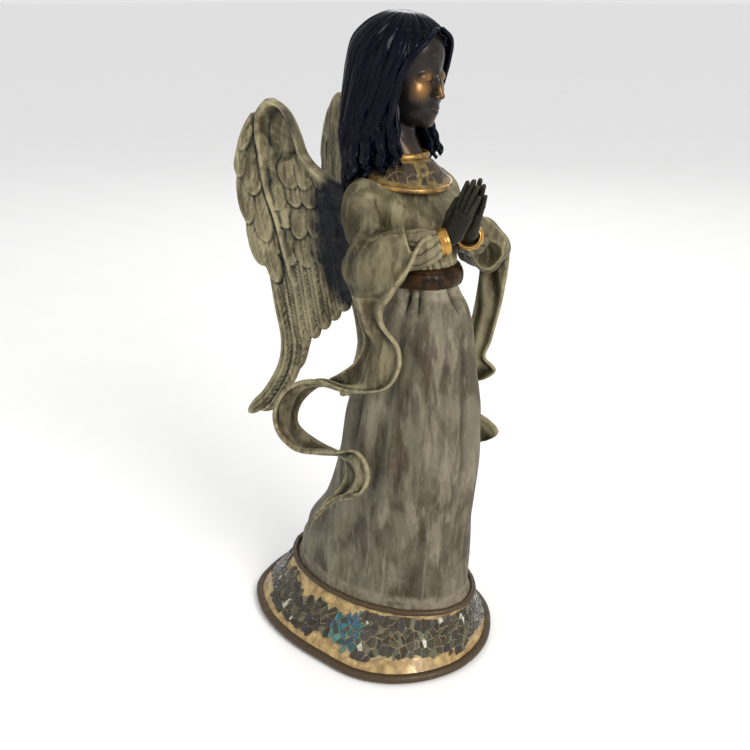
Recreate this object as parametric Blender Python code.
"""Resin angel figurine: a praying angel in a long gown that flares into an oval mosaic hem.

The figure faces -Y, her right hand is on the -X side, +Z is up, and the origin is on the floor
under the middle of the hem. Shapes are worked out in millimetres and turned into metres once,
where a mesh is made. Nothing moves: every piece is glued, cast on, or rests on the next one.
"""
import math

import bmesh
import bpy
import numpy as np

MM = 0.001
GAP = 0.3                      # clearance kept between pieces that touch

# Driving dimensions, in millimetres
HEM_HALF_WIDTH = 54.0
HEM_HALF_LENGTH = 74.0
HEM_TOP = 28.5                 # where the gown rises out of the flared hem
TOP_HALF_WIDTH = 35.0          # of the hem's top edge
TOP_HALF_LENGTH = 54.5
TOP_MIDDLE_Y = -7.6
FELT_THICK = 1.2
FELT_INSET = 5.5
RIM_RADIUS = 2.2
RIM_HEIGHT = 2.8
CORD_RADIUS = 1.5
TILE_THICK = 1.5
BELT_LOW = 187.0
BELT_HIGH = 196.0
NECK_Y = -21.0
NECK_LOW = 236.0
COLLAR_INNER = 10.5
COLLAR_OUTER = 21.0
COLLAR_THICK = 2.4
DRAPE_THICK = 2.0
WING_ROOT_X = 7.0
WING_ROOT_Y = -9.0
WING_SWEEP = math.radians(16.7)  # how far each wing turns out from straight back
LEFT_TAIL_IN = 16.0            # how far the left wing's tail is drawn in, below the arm
PEG_RADIUS = 1.5
PEG_HEIGHT = 206.0

# The hem's foot is a hand-worked oval; its outer edge runs clockwise from the front, XY
HEM_OUTLINE = [(-10, -71.5), (-29, -66), (-43.5, -54.5), (-51.5, -39), (-53.5, -19), (-53.5, 3),
               (-50, 23), (-43, 41), (-30, 59), (-11, 69), (10, 73), (30, 66), (45, 49), (53, 25),
               (55, 0), (52, -25), (43.5, -44), (29, -58.5), (11, -68.5)]

# Rows: height, middle of the section in Y, half width, half depth
SKIRT = [(28.5, -7.6, 33.4, 53.4), (34, -7.6, 31.6, 51.4), (46, -8.6, 30.4, 49.8), (62, -14.6, 29.6, 44),
         (80, -20, 28.6, 40.6), (101, -25, 27.8, 38), (122, -27, 26.8, 35.6), (136, -29, 25.3, 33),
         (166, -32.5, 21, 26.8), (187, -34, 16, 17.4)]
BODICE = [(196, -33.5, 16.5, 15.5), (204, -30.5, 19, 15.5), (214, -28, 23, 17.5),
          (222, -25, 26, 17), (229, -22, 26.5, 15.5), (234, -21.3, 22, 16),
          (238, -21, 17, 15), (241, -21, 14, 14)]
HEAD = [(236, -21, 8.6, 8.6), (246, -21, 8.2, 8.2), (255, -21, 8.8, 9.6), (260, -23, 10.5, 14),
        (266, -21, 13.8, 17.2), (272, -20, 15.6, 18.6), (280, -19, 16.5, 19.6),
        (290, -18.5, 15.8, 18.6), (297, -18.5, 12, 14.6), (301, -18.5, 6.5, 8)]
HAIR = [(230, -1.5, 15, 4.5), (236, -4.5, 21, 9), (246, -10, 23, 16), (258, -14.5, 22.5, 20.5),
        (270, -17.5, 22.5, 23.5), (281, -18.6, 22, 24), (291, -18.6, 19.5, 22),
        (299, -18.6, 14, 16.5), (303.5, -18.6, 7.5, 9), (305, -18.6, 1.5, 2)]
# Rows: height, half width of the opening for the face and neck, its rear edge in Y
FACE_OPENING = [(222, 17, -13), (240, 16, -14), (256, 15.5, -20), (268, 15, -24),
                (282, 13.5, -28), (292, 8, -33), (298, 1.5, -37)]

# Rows: X, Y, Z, half width, half height of a sleeve's or hand's section (left side, +X)
UPPER_SLEEVE = [(19, -20, 230, 7.5, 8.5), (25.5, -20.5, 223, 8.8, 9.5), (28, -25, 213, 8.4, 8.8),
                (28.5, -31, 204, 8.5, 9), (28.5, -35, 198, 7, 7.5)]
RIGHT_FORE_SLEEVE = [(34.5, -22, 196, 5.5, 6.5), (34, -29, 198, 8.5, 11), (31, -38, 202, 10.5, 13),
                     (22, -47, 206, 9.5, 11.5)]
LEFT_FORE_SLEEVE = [(37, -25, 196, 6, 7), (39, -33, 197, 8.5, 11), (34.5, -42, 199.5, 10.5, 12.5),
                    (24, -49, 204.5, 9, 11)]
UNDER_SLEEVE = [(32, -34, 203, 6.5, 7), (25, -41, 205, 8, 8.5), (16, -48.5, 207.2, 7.6, 8.2),
                (10.5, -52.3, 208.8, 5.3, 5.8)]
BRACELET_CENTRE = (8.9, -53.4, 209.3)
BRACELET_RADIUS = 5.6
BRACELET_WIRE = 1.5
HAND = [(10.5, -52.3, 208.8, 3.4, 3.8), (7.2, -54.5, 210.2, 3.6, 4.4), (4.8, -56.5, 213.5, 3.7, 6.2),
        (4.1, -58.8, 219, 3.5, 7), (3.7, -61.4, 226, 3, 5.8), (3.2, -63.4, 232, 2.5, 4.2),
        (2.7, -64.8, 236.5, 1.6, 2.2)]

# The falling cloth of each sleeve runs between two edges; rows: outer edge XYZ, inner edge XYZ.
# Positive X here is away from the body, on either side.
RIGHT_DRAPE = [((29, -55, 203), (36, -26, 197)), ((33, -47, 191), (37, -28, 191)),
               ((34, -43, 177), (35, -32, 177)), ((31, -49, 165), (31, -27, 163)),
               ((32, -50, 155), (32, -22, 153)), ((34, -43, 145), (31, -12, 145)),
               ((37, -25, 140), (30, -3, 139)), ((40, -4, 141), (28, 9, 132)),
               ((45, 10, 135), (28, 20, 121)), ((48, 17, 123), (28, 24, 110)),
               ((47, 16, 110), (27, 19, 104)), ((42, 8, 102), (26, 4, 101)),
               ((38, -12, 107), (31, -13, 103)), ((39, -30, 113), (36, -20, 100)),
               ((39, -38, 105), (38, -20, 94)), ((41, -35, 94), (40, -15, 86)),
               ((43, -20, 87), (43, -9, 78)), ((45, -7, 73), (44, -5, 71))]
LEFT_DRAPE = [((32, -56, 202), (42, -28, 199)), ((44, -49, 193), (43, -32, 188)),
              ((43, -47, 173), (39, -33, 170)), ((39.5, -44, 152), (35, -32, 153)),
              ((37.5, -42, 143), (34, -29, 144)), ((41, -46, 136), (34, -24, 137)),
              ((38, -37, 129.5), (33, -12, 130)),
              ((41, -14, 128), (32, 2, 125)), ((45, 2, 126), (31, 12, 118)),
              ((47, 8, 117), (31, 14, 110)), ((44, -2, 110), (32, 3, 104)),
              ((40, -22, 112), (34, -12, 101)), ((39, -39, 112), (36, -20, 98)),
              ((44, -47, 103), (39, -22, 92)), ((42, -36, 94), (41, -18, 85)),
              ((44, -17, 85), (42, -10, 78)), ((44, -6, 74), (43, -4, 71))]

# Rows: height, inner edge and outer edge, measured out along the wing from its root
WING = [(103.5, 73, 74.5), (108, 65.5, 71), (115, 57, 64), (123, 49, 57.5), (132, 44, 54),
        (143, 39, 51.5), (157, 33, 55), (164, 21, 57), (172, 11, 60), (179, 2, 62),
        (187, -5, 66), (200, -6, 70), (217, -4, 74), (224, 6, 75), (230, 22, 75.5),
        (238, 34, 74), (249, 39, 70), (257, 43, 65), (262, 48, 60.5), (265, 54, 57)]


def clear_scene():
    for old in list(bpy.data.objects):
        bpy.data.objects.remove(old, do_unlink=True)


def finish(name, colour, roughness, metallic=0.0):
    """A Principled material in a plain colour."""
    made = bpy.data.materials.new(name)
    made.use_nodes = True
    shader = made.node_tree.nodes["Principled BSDF"]
    shader.inputs["Base Color"].default_value = (*colour, 1.0)
    shader.inputs["Roughness"].default_value = roughness
    shader.inputs["Metallic"].default_value = metallic
    made.diffuse_color = (*colour, 1.0)
    return made


def smooth_rows(rows, count, closed=False):
    """Rows read evenly along a Catmull-Rom curve through the given rows."""
    given = np.array(rows, dtype=float)
    if closed:
        given = np.vstack([given, given[:1]])
        before, after = given[-2], given[1]
    else:
        before, after = 2 * given[0] - given[1], 2 * given[-1] - given[-2]
    padded = np.vstack([before, given, after])
    steps = np.linalg.norm(np.diff(given, axis=0), axis=1)
    along = np.concatenate([[0.0], np.cumsum(steps)])
    read = []
    for wanted in np.linspace(0.0, along[-1], count, endpoint=not closed):
        span = min(int(np.searchsorted(along, wanted, side="right")) - 1, len(given) - 2)
        t = (wanted - along[span]) / steps[span]
        a, b, c, d = padded[span:span + 4]
        read.append(0.5 * (2 * b + (c - a) * t + (2 * a - 5 * b + 4 * c - d) * t ** 2
                           + (3 * b - a - 3 * c + d) * t ** 3))
    return np.array(read)


def add_solid(name, points, faces, material, parent):
    """A closed solid from points in millimetres, with its origin under the middle of it."""
    points = np.array(points, dtype=float)
    low, high = points.min(axis=0), points.max(axis=0)
    origin = np.array([(low[0] + high[0]) / 2, (low[1] + high[1]) / 2, low[2]])
    mesh = bpy.data.meshes.new(name)
    mesh.from_pydata([tuple(p) for p in (points - origin) * MM], [], faces)
    work = bmesh.new()
    work.from_mesh(mesh)
    bmesh.ops.recalc_face_normals(work, faces=work.faces)
    work.to_mesh(mesh)
    work.free()
    mesh.shade_smooth()
    mesh.set_sharp_from_angle(angle=math.radians(40))
    mesh.materials.append(material)
    made = bpy.data.objects.new(name, mesh)
    made.location = origin * MM
    made.parent = parent
    bpy.context.collection.objects.link(made)
    return made


def add_loft(name, rings, material, parent, closed=False):
    """Skin a row of rings; the ends are capped with fans, or joined to each other if closed."""
    rings = np.array(rings, dtype=float)
    count, sides = rings.shape[:2]
    points = rings.reshape(-1, 3)
    faces = []
    for row in range(count if closed else count - 1):
        here = row * sides
        above = (row + 1) % count * sides
        for side in range(sides):
            after = (side + 1) % sides
            faces.append((here + side, here + after, above + after, above + side))
    if not closed:
        middles = np.array([rings[0].mean(axis=0), rings[-1].mean(axis=0)])
        points = np.vstack([points, middles])
        for middle, start in ((len(points) - 2, 0), (len(points) - 1, (count - 1) * sides)):
            for side in range(sides):
                faces.append((middle, start + side, start + (side + 1) % sides))
    return add_solid(name, points, faces, material, parent)


def oval(height, middle_y, half_width, half_depth, sides, squareness=2.0):
    """One level ring, an ellipse or a squarer superellipse."""
    angles = 2 * math.pi * np.arange(sides) / sides
    across, along = np.cos(angles), np.sin(angles)
    x = half_width * np.sign(across) * np.abs(across) ** (2 / squareness)
    y = middle_y + half_depth * np.sign(along) * np.abs(along) ** (2 / squareness)
    return np.stack([x, y, np.full(sides, float(height))], axis=1)


def level_loft(name, rows, count, sides, material, parent):
    """A solid whose level sections are the ovals of a table of rows."""
    rings = [oval(*row, sides) for row in smooth_rows(rows, count)]
    return add_loft(name, rings, material, parent)


def round_section(centre, direction, half_width, half_height, sides, width_along=(0, 0, 1)):
    """An oval across a limb that runs along direction; its width is nearest to width_along."""
    direction = direction / np.linalg.norm(direction)
    across = np.array(width_along, dtype=float)
    across -= direction * np.dot(across, direction)
    across /= np.linalg.norm(across)
    upright = np.cross(direction, across)
    angles = 2 * math.pi * np.arange(sides) / sides
    return (centre + np.outer(np.cos(angles), across) * half_width
            + np.outer(np.sin(angles), upright) * half_height)


def limb(name, rows, count, sides, material, parent, side):
    """A tube with changing oval sections; side is 1 for the left (+X) and -1 for the right."""
    rows = smooth_rows(rows, count)
    rows[:, 0] *= side
    directions = np.gradient(rows[:, :3], axis=0)
    rings = [round_section(row[:3], direction, row[3], row[4], sides, (1, 0, 0))
             for row, direction in zip(rows, directions)]
    return add_loft(name, rings, material, parent)


def bead(name, path, radius, sides, material, parent):
    """A round bead along a closed path that goes once round the figure."""
    ahead = np.roll(path, -1, axis=0) - np.roll(path, 1, axis=0)
    rings = [round_section(point, direction, radius, radius, sides)
             for point, direction in zip(path, ahead)]
    return add_loft(name, rings, material, parent, closed=True)


def make_room(piece, neighbours):
    """Cut from a piece the space of each neighbour, grown by the gap."""
    for neighbour in neighbours:
        cutter = bpy.data.objects.new(f"room_{neighbour.name}_in_{piece.name}", neighbour.data)
        cutter.location = neighbour.location
        cutter.parent = neighbour.parent
        hide_guide(cutter)
        bpy.context.collection.objects.link(cutter)
        grow = cutter.modifiers.new("gap", "DISPLACE")
        grow.strength = GAP * MM
        grow.mid_level = 0.0
        cut_away(piece, cutter)


def cut_away(piece, cutter, operation="DIFFERENCE"):
    """Cut the cutter's shape out of a piece, or join it on with UNION."""
    cut = piece.modifiers.new(f"{operation.lower()}_{cutter.name}"[:60], "BOOLEAN")
    cut.operation = operation
    cut.solver = "EXACT"
    cut.object = cutter


def hide_guide(guide):
    """Keep a cutter or a helper out of the finished object."""
    guide.hide_render = True
    guide.display_type = "WIRE"


# The flared hem -----------------------------------------------------------------------------

def hem_foot(height, inset, sides):
    """The outline of the foot, drawn in towards the middle."""
    outline = smooth_rows(HEM_OUTLINE, sides, closed=True)
    outline *= 1.0 - inset / np.linalg.norm(outline, axis=1, keepdims=True)
    return np.column_stack([outline, np.full(sides, height)])


def hem_ring(rise, outward, sides):
    """A ring of the hem's flared face: rise 0 is its foot, 1 is its top; outward moves it out."""
    foot = hem_foot(4.0, 2.5, sides)
    angles = np.arctan2(foot[:, 1] / HEM_HALF_LENGTH, foot[:, 0] / HEM_HALF_WIDTH)
    top = np.column_stack([TOP_HALF_WIDTH * np.cos(angles),
                           TOP_MIDDLE_Y + TOP_HALF_LENGTH * np.sin(angles),
                           np.full(sides, HEM_TOP)])
    ring = foot + (top - foot) * np.array([rise, rise, rise ** 1.15])
    ring[:, :2] += outward * np.column_stack([np.cos(angles), np.sin(angles)])
    ring[:, 2] += 0.5 * outward
    return ring


def build_hem(parent, sides=44):
    brown = finish("rim_brown", (0.09, 0.05, 0.025), 0.45, 0.3)
    grout = finish("hem_gold", (0.36, 0.25, 0.09), 0.5, 0.4)
    tiles = finish("mosaic_glass", (0.20, 0.20, 0.15), 0.2)
    felt = finish("felt_dark", (0.03, 0.03, 0.03), 0.95)

    felt_rings = [hem_foot(height, FELT_INSET, sides) for height in (0.0, FELT_THICK)]
    add_loft("felt_pad", felt_rings, felt, parent)

    foot = hem_foot(FELT_THICK + GAP, FELT_INSET + 0.5, sides)
    rises = np.linspace(0.0, 1.0, 5)
    rings = [foot] + [hem_ring(rise, -TILE_THICK - GAP, sides) for rise in rises]
    band = add_loft("hem_band", rings, grout, parent)

    rim = bead("hem_lower_rim", hem_foot(RIM_HEIGHT, RIM_RADIUS, 56), RIM_RADIUS, 6, brown, parent)
    cord_path = oval(HEM_TOP + 0.6, TOP_MIDDLE_Y, TOP_HALF_WIDTH + 0.4, TOP_HALF_LENGTH + 0.4, 44)
    cord = bead("hem_upper_cord", cord_path, CORD_RADIUS, 6, brown, parent)

    low, high = 0.17, 0.9
    edges = [(low, -TILE_THICK), ((low + high) / 2, -TILE_THICK), (high, -TILE_THICK),
             (high, 0.0), ((low + high) / 2, 0.0), (low, 0.0)]
    shell = np.array([hem_ring(rise, outward, sides) for rise, outward in edges])
    mosaic = add_loft("hem_mosaic", shell.transpose(1, 0, 2), tiles, parent, closed=True)

    make_room(band, [rim, cord])
    make_room(mosaic, [rim, cord])
    return cord


# Gown, belt and bodice ----------------------------------------------------------------------

def build_gown(parent, cord, sides=28):
    ivory = finish("gown_ivory", (0.34, 0.30, 0.22), 0.55)
    bronze = finish("belt_bronze", (0.28, 0.17, 0.07), 0.35, 0.7)

    folds = 13
    round_points = folds * 4
    angles = 2 * math.pi * np.arange(round_points) / round_points
    rings = []
    for row in smooth_rows(SKIRT, 13):
        ring = oval(*row, round_points)
        depth = 0.006 + 0.014 * math.sin(math.pi * min(1.0, (row[0] - HEM_TOP) / 120.0))
        swell = 1.0 + depth * np.cos(folds * angles)
        ring[:, 0] *= swell
        ring[:, 1] = row[1] + (ring[:, 1] - row[1]) * swell
        rings.append(ring)
    rings[0][:, 2] = HEM_TOP + GAP
    rings[-1][:, 2] = BELT_LOW - GAP
    skirt = add_loft("skirt", rings, ivory, parent)

    belt_rows = [(BELT_LOW, -34, 16.3, 17.6), (189.5, -34, 17.4, 18.6), (193.5, -34, 17.6, 18.4),
                 (BELT_HIGH - GAP, -33.6, 16.8, 16.4)]
    belt = add_loft("belt", [oval(*row, sides) for row in belt_rows], bronze, parent)
    bodice = level_loft("bodice", BODICE, 10, sides, ivory, parent)
    make_room(skirt, [cord])
    return skirt, belt, bodice


# Collar -------------------------------------------------------------------------------------

def collar_ring(reach, lift, sides):
    """A ring of the collar: reach 0 is at the neck, 1 at its outer edge, which dips in front."""
    radius = COLLAR_INNER + (COLLAR_OUTER - COLLAR_INNER) * reach
    angles = 2 * math.pi * np.arange(sides) / sides
    front = 0.5 - 0.5 * np.sin(angles)
    height = 242.0 - (6.0 + 6.0 * front) * reach ** 1.2 + lift
    x = radius * 1.02 * np.cos(angles)
    y = NECK_Y - 0.7 * reach + radius * np.sin(angles)
    return np.stack([x, y, height], axis=1)


def build_collar(parent, bodice, sides=26):
    """The collar lies on the shoulders, which are cut down to its underside."""
    gold = finish("collar_gold", (0.45, 0.30, 0.10), 0.4, 0.5)
    bright = finish("neck_ring_gold", (0.60, 0.36, 0.10), 0.3, 0.9)
    tiles = finish("collar_glass", (0.16, 0.13, 0.10), 0.2)

    edges = [(0.0, -COLLAR_THICK), (0.5, -COLLAR_THICK), (0.9, -COLLAR_THICK),
             (0.9, 0.0), (0.5, 0.0), (0.0, 0.0)]
    shell = np.array([collar_ring(reach, lift, sides) for reach, lift in edges])
    plate = add_loft("collar_plate", shell.transpose(1, 0, 2), gold, parent, closed=True)

    tile_edges = [(0.22, GAP), (0.84, GAP), (0.84, GAP + 1.0), (0.22, GAP + 1.0)]
    shell = np.array([collar_ring(reach, lift, sides) for reach, lift in tile_edges])
    mosaic = add_loft("collar_mosaic", shell.transpose(1, 0, 2), tiles, parent, closed=True)

    rim = bead("collar_rim", collar_ring(1.0, -0.4, sides), 1.3, 6, gold, parent)
    ring = bead("collar_neck_ring", collar_ring(0.0, 1.0, 20), 1.5, 6, bright, parent)
    make_room(plate, [rim, ring])
    make_room(mosaic, [rim, ring])
    under = -COLLAR_THICK - GAP
    outline = [(0.0, under), (0.5, under), (1.15, under)]
    rings = [collar_ring(reach, lift, sides) for reach, lift in outline]
    lid = rings[-1].copy()
    lid[:, 2] = NECK_LOW + 20.0
    space = add_loft("space_over_shoulders", [*rings, lid], gold, parent)
    hide_guide(space)
    cut_away(bodice, space)
    return space, [plate, mosaic, rim, ring]


# Head and hair ------------------------------------------------------------------------------

def build_head(parent, bodice, collar):
    skin = finish("skin_bronze", (0.06, 0.04, 0.025), 0.35, 0.4)
    black = finish("hair_black", (0.008, 0.009, 0.012), 0.3)
    guide = finish("guide", (0.5, 0.5, 0.5), 0.5)

    head = level_loft("head", HEAD, 14, 20, skin, parent)
    hair = level_loft("hair", HAIR, 13, 24, black, parent)

    front_y = -60.0
    rings = []
    for height, half_width, rear_y in FACE_OPENING:
        middle_y, half_depth = (front_y + rear_y) / 2, (rear_y - front_y) / 2
        rings.append(oval(height, middle_y, half_width, half_depth, 20, 3.0))
    opening = add_loft("face_opening", rings, guide, parent)
    hide_guide(opening)

    cut_away(hair, opening)
    make_room(bodice, [head])
    make_room(hair, [head, bodice, *collar])
    return head, hair


# Arms and falling sleeves -------------------------------------------------------------------

def build_arm(parent, side, name, cloth_rows, skirt, bodice, collar_space, hair):
    ivory = bpy.data.materials["gown_ivory"]
    gold = finish(f"{name}_bracelet_gold", (0.62, 0.36, 0.08), 0.3, 0.9)
    skin = finish(f"{name}_hand_bronze", (0.12, 0.10, 0.06), 0.4, 0.4)

    sleeve = limb(f"{name}_sleeve", UPPER_SLEEVE, 6, 14, ivory, parent, side)
    fore_rows, drape_rows = cloth_rows
    forearm = limb(f"{name}_forearm_cloth", fore_rows, 6, 14, ivory, parent, side)
    hide_guide(forearm)
    cut_away(sleeve, forearm, "UNION")
    under = limb(f"{name}_undersleeve", UNDER_SLEEVE, 6, 12, ivory, parent, side)
    hand = limb(f"{name}_hand", HAND, 9, 12, skin, parent, side)

    middle = np.array(BRACELET_CENTRE, dtype=float)
    wrist_direction = np.array(UNDER_SLEEVE[-1][:3], dtype=float) - np.array(UNDER_SLEEVE[-2][:3])
    middle[0] *= side
    wrist_direction[0] *= side
    path = round_section(middle, wrist_direction, BRACELET_RADIUS, BRACELET_RADIUS, 18, (1, 0, 0))
    rings = []
    for point in path:
        outward = (point - middle) / np.linalg.norm(point - middle)
        axis = wrist_direction / np.linalg.norm(wrist_direction)
        angles = 2 * math.pi * np.arange(6) / 6
        rings.append(point + BRACELET_WIRE * (np.outer(np.cos(angles), outward)
                                              + np.outer(np.sin(angles), axis)))
    bracelet = add_loft(f"{name}_bracelet", rings, gold, parent, closed=True)

    rows = smooth_rows([(*outer, *inner) for outer, inner in drape_rows], 34)
    rows[:, [0, 3]] *= side
    centres = (rows[:, :3] + rows[:, 3:]) / 2
    flow = np.gradient(centres, axis=0)
    rings = []
    for row, direction in zip(rows, flow):
        outer, inner = row[:3], row[3:]
        normal = np.cross(direction, inner - outer)
        normal *= DRAPE_THICK / 2 / np.linalg.norm(normal)
        rings.append([outer + normal, (outer + inner) / 2 + normal, inner + normal,
                      inner - normal, (outer + inner) / 2 - normal, outer - normal])
    drape = add_loft(f"{name}_drape", rings, ivory, parent)

    make_room(bodice, [bracelet])
    make_room(under, [bracelet, hand, bodice])
    make_room(hand, [bracelet])
    cut_away(sleeve, collar_space)
    make_room(sleeve, [bodice, under])
    make_room(drape, [forearm, skirt])
    make_room(hair, [sleeve])


# Wings --------------------------------------------------------------------------------------

def wing_point(side, out, face, height):
    """A point of a wing: out along it from its root, face towards its outer side."""
    sweep_x, sweep_y = math.sin(WING_SWEEP), math.cos(WING_SWEEP)
    x = WING_ROOT_X + out * sweep_x + face * sweep_y
    y = WING_ROOT_Y + out * sweep_y - face * sweep_x
    return np.array([side * x, y, height])


def build_wing(parent, side, name, belt, bodice):
    feather = finish(f"{name}_wing_ivory", (0.36, 0.30, 0.20), 0.5)
    steel = finish(f"{name}_peg_steel", (0.55, 0.55, 0.55), 0.35, 1.0)

    across = 0.5 - 0.5 * np.cos(math.pi * np.arange(9) / 8)
    rings = []
    for height, inner, outer in smooth_rows(WING, 24):
        width = outer - inner
        tail = max(0.0, min(1.0, (200.0 - height) / 60.0))
        inner -= LEFT_TAIL_IN * tail * (side > 0)
        half_thick = min(3.6, 0.8 + 0.11 * width)
        hollow = 3.0 * max(0.0, min(1.0, (height - 222.0) / 20.0))
        front, back = [], []
        for share in across:
            out = inner + width * share
            swell = half_thick * math.sqrt(max(0.02, 1.0 - (2.0 * share - 1.0) ** 2))
            dip = hollow * math.sin(math.pi * min(1.0, share * 1.25)) * (width > 10.0)
            front.append(wing_point(side, out, swell - dip, height))
            back.append(wing_point(side, out, -swell - dip, height))
        rings.append(front + back[::-1][1:-1])
    wing = add_loft(f"{name}_wing", rings, feather, parent)

    tip, end = wing_point(side, 8.0, 0.0, PEG_HEIGHT), wing_point(side, -16.0, 0.0, PEG_HEIGHT)
    rings = [round_section(point, tip - end, PEG_RADIUS, PEG_RADIUS, 10) for point in (end, tip)]
    peg = add_loft(f"{name}_wing_peg", rings, steel, parent)

    make_room(wing, [bodice, belt, peg])
    make_room(bodice, [peg])


def build_angel():
    clear_scene()
    root = bpy.data.objects.new("angel", None)
    bpy.context.collection.objects.link(root)
    cord = build_hem(root)
    skirt, belt, bodice = build_gown(root, cord)
    collar_space, collar = build_collar(root, bodice)
    head, hair = build_head(root, bodice, collar)
    right_cloth = (RIGHT_FORE_SLEEVE, RIGHT_DRAPE)
    left_cloth = (LEFT_FORE_SLEEVE, LEFT_DRAPE)
    for side, name, cloth_rows in ((-1, "right", right_cloth), (1, "left", left_cloth)):
        build_arm(root, side, name, cloth_rows, skirt, bodice, collar_space, hair)
        build_wing(root, side, name, belt, bodice)


build_angel()
